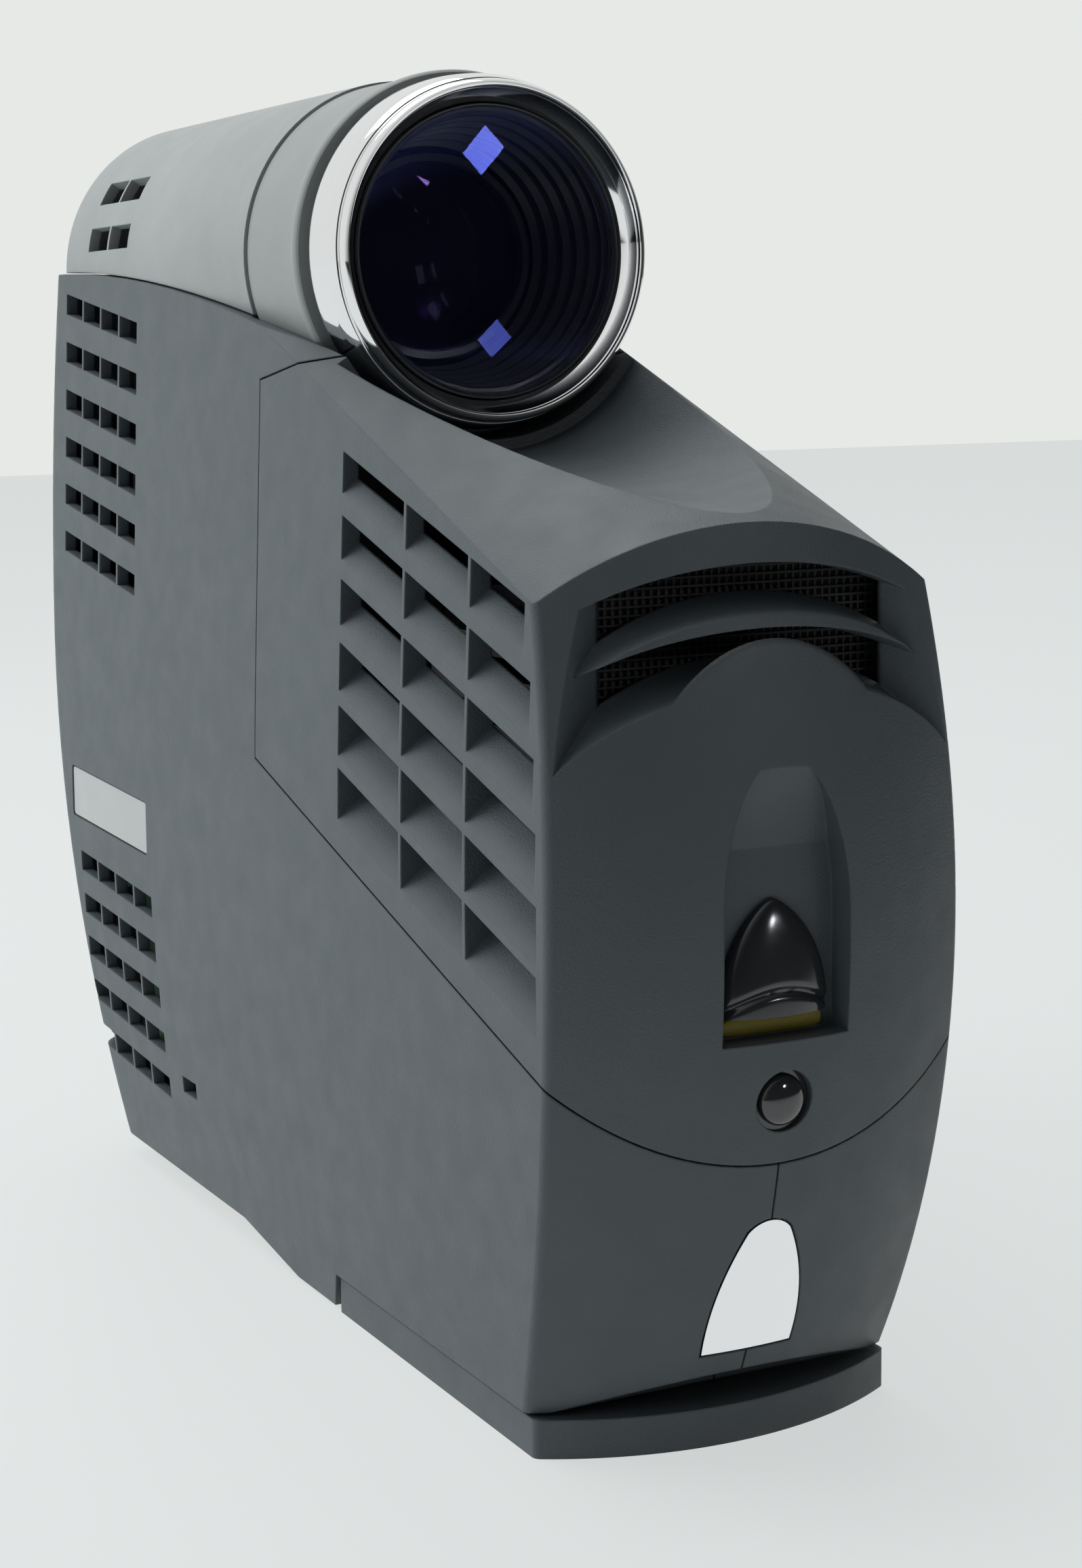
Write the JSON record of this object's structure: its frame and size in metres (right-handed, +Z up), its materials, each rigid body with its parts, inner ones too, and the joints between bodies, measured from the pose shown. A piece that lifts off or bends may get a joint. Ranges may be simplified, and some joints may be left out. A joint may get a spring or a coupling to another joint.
{
  "type": "upright video projector",
  "caption": "Tall narrow portable video projector with a removable louvred front cover, a zoom lens in a round top housing and a tilting foot.",
  "frame": {"origin": "on the floor, in the middle of the width and of the depth", "axes": "+Z up, the lens looks along -Y, +X is the projector's left side as it looks out"},
  "size_m": [0.0666, 0.2294, 0.2001],
  "materials": {
    "dark_plastic": "fine textured dark slate plastic",
    "silver_plastic": "satin silver-grey plastic",
    "ring_grey": "satin mid-grey anodised ring",
    "bright_chrome": "polished bright trim",
    "smoked_chrome": "glossy gunmetal",
    "yellow_plastic": "dull yellow strip",
    "clear_dome": "glossy dark dome",
    "black_plastic": "matt black",
    "key_plastic": "satin grey keys",
    "coated_glass": "coated glass with a violet reflection",
    "plain_glass": "clear glass",
    "mirror_glass": "mirror surface",
    "pale_foil": "bare pale plate",
    "steel": "bright steel",
    "foot_rubber": "matt rubber",
    "circuit_board": "green board",
    "cast_metal": "die-cast metal",
    "sink_metal": "extruded fins",
    "lamp_metal": "grey sheet metal",
    "ceramic": "white ceramic",
    "jack_brass": "plated jacks"
  },
  "bodies": {
    "case": {"left_shell": "dark_plastic", "right_shell": "dark_plastic", "label_plate": "pale_foil", "lock_bracket": "steel", "case_screws": "steel", "foot_pin": "steel", "rear_feet": "foot_rubber", "lens_housing": "silver_plastic", "lens_barrel": "black_plastic", "key_board": "circuit_board", "optical_chassis": "cast_metal", "fold_mirror": "mirror_glass", "relay_lens": "plain_glass", "condenser_lens": "plain_glass", "light_tunnel": "mirror_glass", "prism": "plain_glass", "mirror_chip": "mirror_glass", "chip_board": "circuit_board", "chip_heatsink": "sink_metal", "lamp_housing": "lamp_metal", "lamp_reflector": "mirror_glass", "lamp_terminal": "ceramic", "lamp_burner": "plain_glass", "wheel_motor": "steel", "wheel_bracket": "steel", "main_board": "circuit_board", "main_board_chips": "black_plastic", "power_board": "circuit_board", "power_parts": "black_plastic", "lamp_ballast": "black_plastic", "lamp_fan_frame": "black_plastic", "rear_fan_frame": "black_plastic", "connector_panel": "black_plastic", "power_inlet": "black_plastic", "video_ports": "steel", "av_jacks": "jack_brass"},
    "front_cover": {"lamp_cover": "dark_plastic", "latch_strip": "yellow_plastic", "ir_window": "clear_dome"},
    "cover_latch": {"cover_latch": "smoked_chrome"},
    "release_button": {"release_button": "bright_chrome"},
    "tilt_foot": {"tilt_foot": "dark_plastic"},
    "zoom_ring": {"zoom_ring": "ring_grey"},
    "zoom_group": {"zoom_cell": "black_plastic", "zoom_lenses": "coated_glass"},
    "focus_bezel": {"focus_bezel": "bright_chrome"},
    "lens_cell": {"baffle_ring": "black_plastic", "front_lens": "coated_glass"},
    "color_wheel": {"color_wheel": "coated_glass"},
    "lamp_fan_rotor": {"lamp_fan_rotor": "black_plastic"},
    "rear_fan_rotor": {"rear_fan_rotor": "black_plastic"},
    "power_key": {"power_key": "key_plastic"},
    "menu_key": {"menu_key": "key_plastic"},
    "source_key": {"source_key": "key_plastic"},
    "select_key": {"select_key": "key_plastic"}
  },
  "joints": [
    {"name": "cover_slide", "type": "slide", "parent": "case", "child": "front_cover", "axis": [0, -1, 0], "range_m": [0, 0.04]},
    {"name": "latch_slide", "type": "slide", "parent": "front_cover", "child": "cover_latch", "axis": [0, 0, 1], "range_m": [0, 0.005], "stiffness_N_per_m": 300, "springref_m": -0.002},
    {"name": "button_press", "type": "slide", "parent": "case", "child": "release_button", "axis": [0, 1, 0], "range_m": [0, 0.002], "stiffness_N_per_m": 800, "springref_m": -0.001},
    {"name": "foot_tilt", "type": "hinge", "parent": "case", "child": "tilt_foot", "pos_m": [0, -0.009, 0.0042], "axis": [1, 0, 0], "range_deg": [0, 9]},
    {"name": "zoom_turn", "type": "hinge", "parent": "case", "child": "zoom_ring", "pos_m": [0, -0.005, 0.1708], "axis": [0, 1, 0], "range_deg": [-30, 30]},
    {"name": "zoom_travel", "type": "slide", "parent": "case", "child": "zoom_group", "axis": [0, 1, 0], "range_m": [-0.0041, 0.0041]},
    {"name": "focus_turn", "type": "hinge", "parent": "case", "child": "focus_bezel", "pos_m": [0, -0.023, 0.1708], "axis": [0, 1, 0], "range_deg": [-60, 60]},
    {"name": "focus_travel", "type": "slide", "parent": "case", "child": "lens_cell", "axis": [0, 1, 0], "range_m": [-0.00125, 0.00125]},
    {"name": "wheel_spin", "type": "hinge", "parent": "case", "child": "color_wheel", "pos_m": [0, -0.038, 0.107], "axis": [0, 1, 0], "continuous": true},
    {"name": "lamp_fan_spin", "type": "hinge", "parent": "case", "child": "lamp_fan_rotor", "pos_m": [0, -0.053, 0.035], "axis": [0, 0, 1], "continuous": true},
    {"name": "rear_fan_spin", "type": "hinge", "parent": "case", "child": "rear_fan_rotor", "pos_m": [-0.003, 0.08, 0.118], "axis": [0, 1, 0], "continuous": true},
    {"name": "power_press", "type": "slide", "parent": "case", "child": "power_key", "axis": [0, 0, -1], "range_m": [0, 0.0008], "stiffness_N_per_m": 400, "springref_m": -0.0005},
    {"name": "menu_press", "type": "slide", "parent": "case", "child": "menu_key", "axis": [0, 0, -1], "range_m": [0, 0.0008], "stiffness_N_per_m": 400, "springref_m": -0.0005},
    {"name": "source_press", "type": "slide", "parent": "case", "child": "source_key", "axis": [0, 0, -1], "range_m": [0, 0.0008], "stiffness_N_per_m": 400, "springref_m": -0.0005},
    {"name": "select_press", "type": "slide", "parent": "case", "child": "select_key", "axis": [0, 0, -1], "range_m": [0, 0.0008], "stiffness_N_per_m": 400, "springref_m": -0.0005}
  ],
  "couplings": [
    {"joint": "zoom_travel", "follows": "zoom_turn", "m_per_rad": 0.00764},
    {"joint": "focus_travel", "follows": "focus_turn", "m_per_rad": 0.001146}
  ]
}
